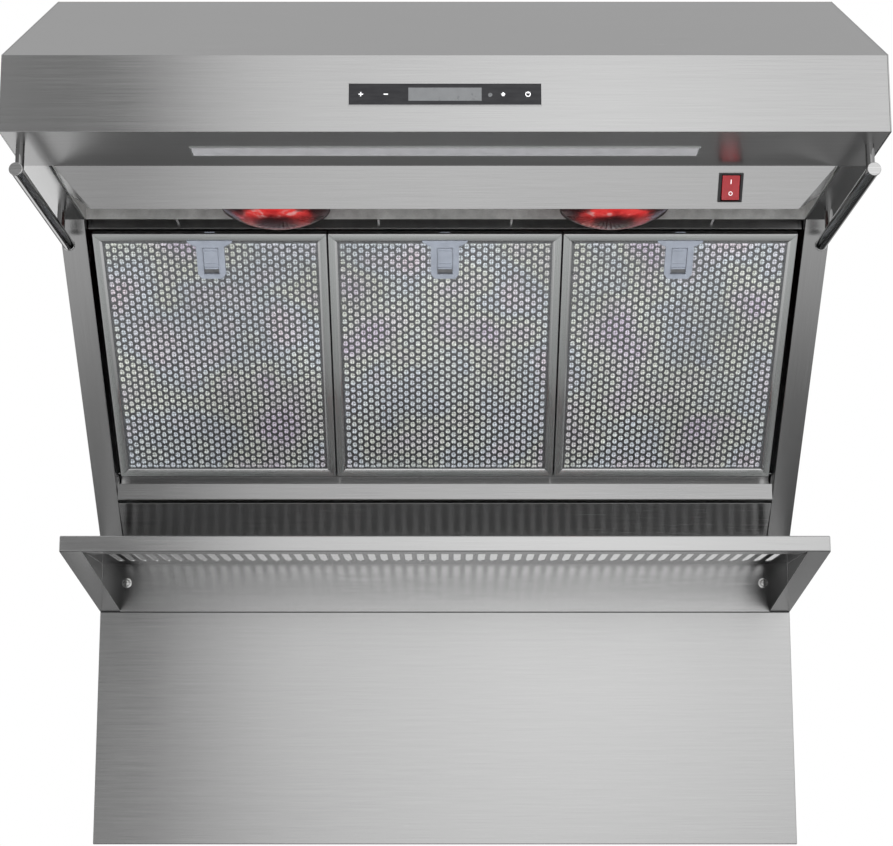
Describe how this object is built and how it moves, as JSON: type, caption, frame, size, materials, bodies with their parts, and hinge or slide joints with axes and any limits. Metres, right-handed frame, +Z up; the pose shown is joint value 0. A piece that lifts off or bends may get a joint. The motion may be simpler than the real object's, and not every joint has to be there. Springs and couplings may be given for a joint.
{
  "type": "under cabinet range hood",
  "caption": "Under cabinet range hood with slanted mesh grease filters, reflector heat lamps, light bar, touch control, side hanging rails, slotted warming shelf and backsplash.",
  "frame": {"origin": "centre of the four wall bolts, on the wall plane", "axes": "+X to the right seen from the front, +Y into the wall, +Z up"},
  "size_m": [0.9, 0.566, 1.006],
  "materials": {
    "stainless": "brushed along the width",
    "lip_steel": "bright satin",
    "galvanised": "zinc coated",
    "rail_steel": "polished tube",
    "filter_aluminium": "satin anodised",
    "mesh_aluminium": "perforated",
    "latch_plastic": "moulded blue grey",
    "lamp_glass": "red lamp glass",
    "brass_shell": "screw shell",
    "porcelain": "unglazed",
    "black_glass": "gloss black",
    "display_grey": "liquid crystal",
    "circuit_green": "solder mask",
    "black_plastic": "moulded",
    "rocker_red": "translucent red",
    "diffuser_white": "frosted",
    "motor_paint": "satin black",
    "wheel_steel": "zinc coated",
    "screw_steel": "polished heads"
  },
  "bodies": {
    "root": {"canopy_shell": "stainless", "left_side_panel": "stainless", "right_side_panel": "stainless", "back_panel": "galvanised", "lower_panel": "stainless", "grease_gutter": "lip_steel", "lamp_pan": "galvanised", "lamp_baffle": "lip_steel", "lip_gussets": "lip_steel", "rocker_bezel": "black_plastic", "heat_lamp_left": "lamp_glass", "heat_lamp_right": "lamp_glass", "lamp_bases": "brass_shell", "lamp_sockets": "porcelain", "lamp_rings": "lip_steel", "socket_bracket": "galvanised", "filter_rail": "galvanised", "filter_clips": "screw_steel", "left_rail": "rail_steel", "right_rail": "rail_steel", "rail_posts": "rail_steel", "rail_caps": "rail_steel", "warming_shelf": "stainless", "shelf_screws": "screw_steel", "backsplash": "stainless", "blower_wrap": "galvanised", "blower_side_left": "galvanised", "blower_side_right": "galvanised", "blower_motor": "motor_paint", "motor_spider": "galvanised", "duct_collar": "galvanised", "damper_rod": "screw_steel", "control_glass": "black_glass", "display_module": "display_grey", "control_board": "circuit_green", "control_housing": "black_plastic", "light_diffuser": "diffuser_white", "light_channel": "filter_aluminium", "light_board": "circuit_green", "junction_box": "galvanised", "junction_cover": "galvanised", "run_capacitor": "filter_aluminium"},
    "impeller": {"impeller": "wheel_steel", "motor_shaft": "screw_steel"},
    "rocker": {"rocker_button": "rocker_red"},
    "damper_rear": {"damper_flap_rear": "galvanised"},
    "damper_front": {"damper_flap_front": "galvanised"},
    "filter_1": {"filter_frame_1": "filter_aluminium", "filter_mesh_1": "mesh_aluminium", "latch_housing_1": "latch_plastic"},
    "latch_1": {"filter_latch_1": "latch_plastic"},
    "filter_2": {"filter_frame_2": "filter_aluminium", "filter_mesh_2": "mesh_aluminium", "latch_housing_2": "latch_plastic"},
    "latch_2": {"filter_latch_2": "latch_plastic"},
    "filter_3": {"filter_frame_3": "filter_aluminium", "filter_mesh_3": "mesh_aluminium", "latch_housing_3": "latch_plastic"},
    "latch_3": {"filter_latch_3": "latch_plastic"}
  },
  "joints": [
    {"name": "impeller_spin", "type": "hinge", "parent": "root", "child": "impeller", "pos_m": [0, -0.17, -0.01], "axis": [1, 0, 0], "continuous": true},
    {"name": "rocker_tip", "type": "hinge", "parent": "root", "child": "rocker", "pos_m": [0.305, -0.45917, -0.14379], "axis": [1, 0, 0], "range_deg": [0, 16]},
    {"name": "damper_rear_lift", "type": "hinge", "parent": "root", "child": "damper_rear", "pos_m": [0, -0.17, 0.133], "axis": [1, 0, 0], "range_deg": [0, 80]},
    {"name": "damper_front_lift", "type": "hinge", "parent": "root", "child": "damper_front", "pos_m": [0, -0.17, 0.133], "axis": [-1, 0, 0], "range_deg": [0, 80]},
    {"name": "filter_tilt_1", "type": "hinge", "parent": "root", "child": "filter_1", "pos_m": [-0.2758, -0.08061, -0.3864], "axis": [1, 0, 0], "range_deg": [0, 60]},
    {"name": "latch_slide_1", "type": "slide", "parent": "filter_1", "child": "latch_1", "axis": [0, 0.6514, -0.7588], "range_m": [0, 0.005], "stiffness_N_per_m": 150, "springref_m": -0.004},
    {"name": "filter_tilt_2", "type": "hinge", "parent": "root", "child": "filter_2", "pos_m": [0, -0.08061, -0.3864], "axis": [1, 0, 0], "range_deg": [0, 60]},
    {"name": "latch_slide_2", "type": "slide", "parent": "filter_2", "child": "latch_2", "axis": [0, 0.6514, -0.7588], "range_m": [0, 0.005], "stiffness_N_per_m": 150, "springref_m": -0.004},
    {"name": "filter_tilt_3", "type": "hinge", "parent": "root", "child": "filter_3", "pos_m": [0.2758, -0.08061, -0.3864], "axis": [1, 0, 0], "range_deg": [0, 60]},
    {"name": "latch_slide_3", "type": "slide", "parent": "filter_3", "child": "latch_3", "axis": [0, 0.6514, -0.7588], "range_m": [0, 0.005], "stiffness_N_per_m": 150, "springref_m": -0.004}
  ]
}
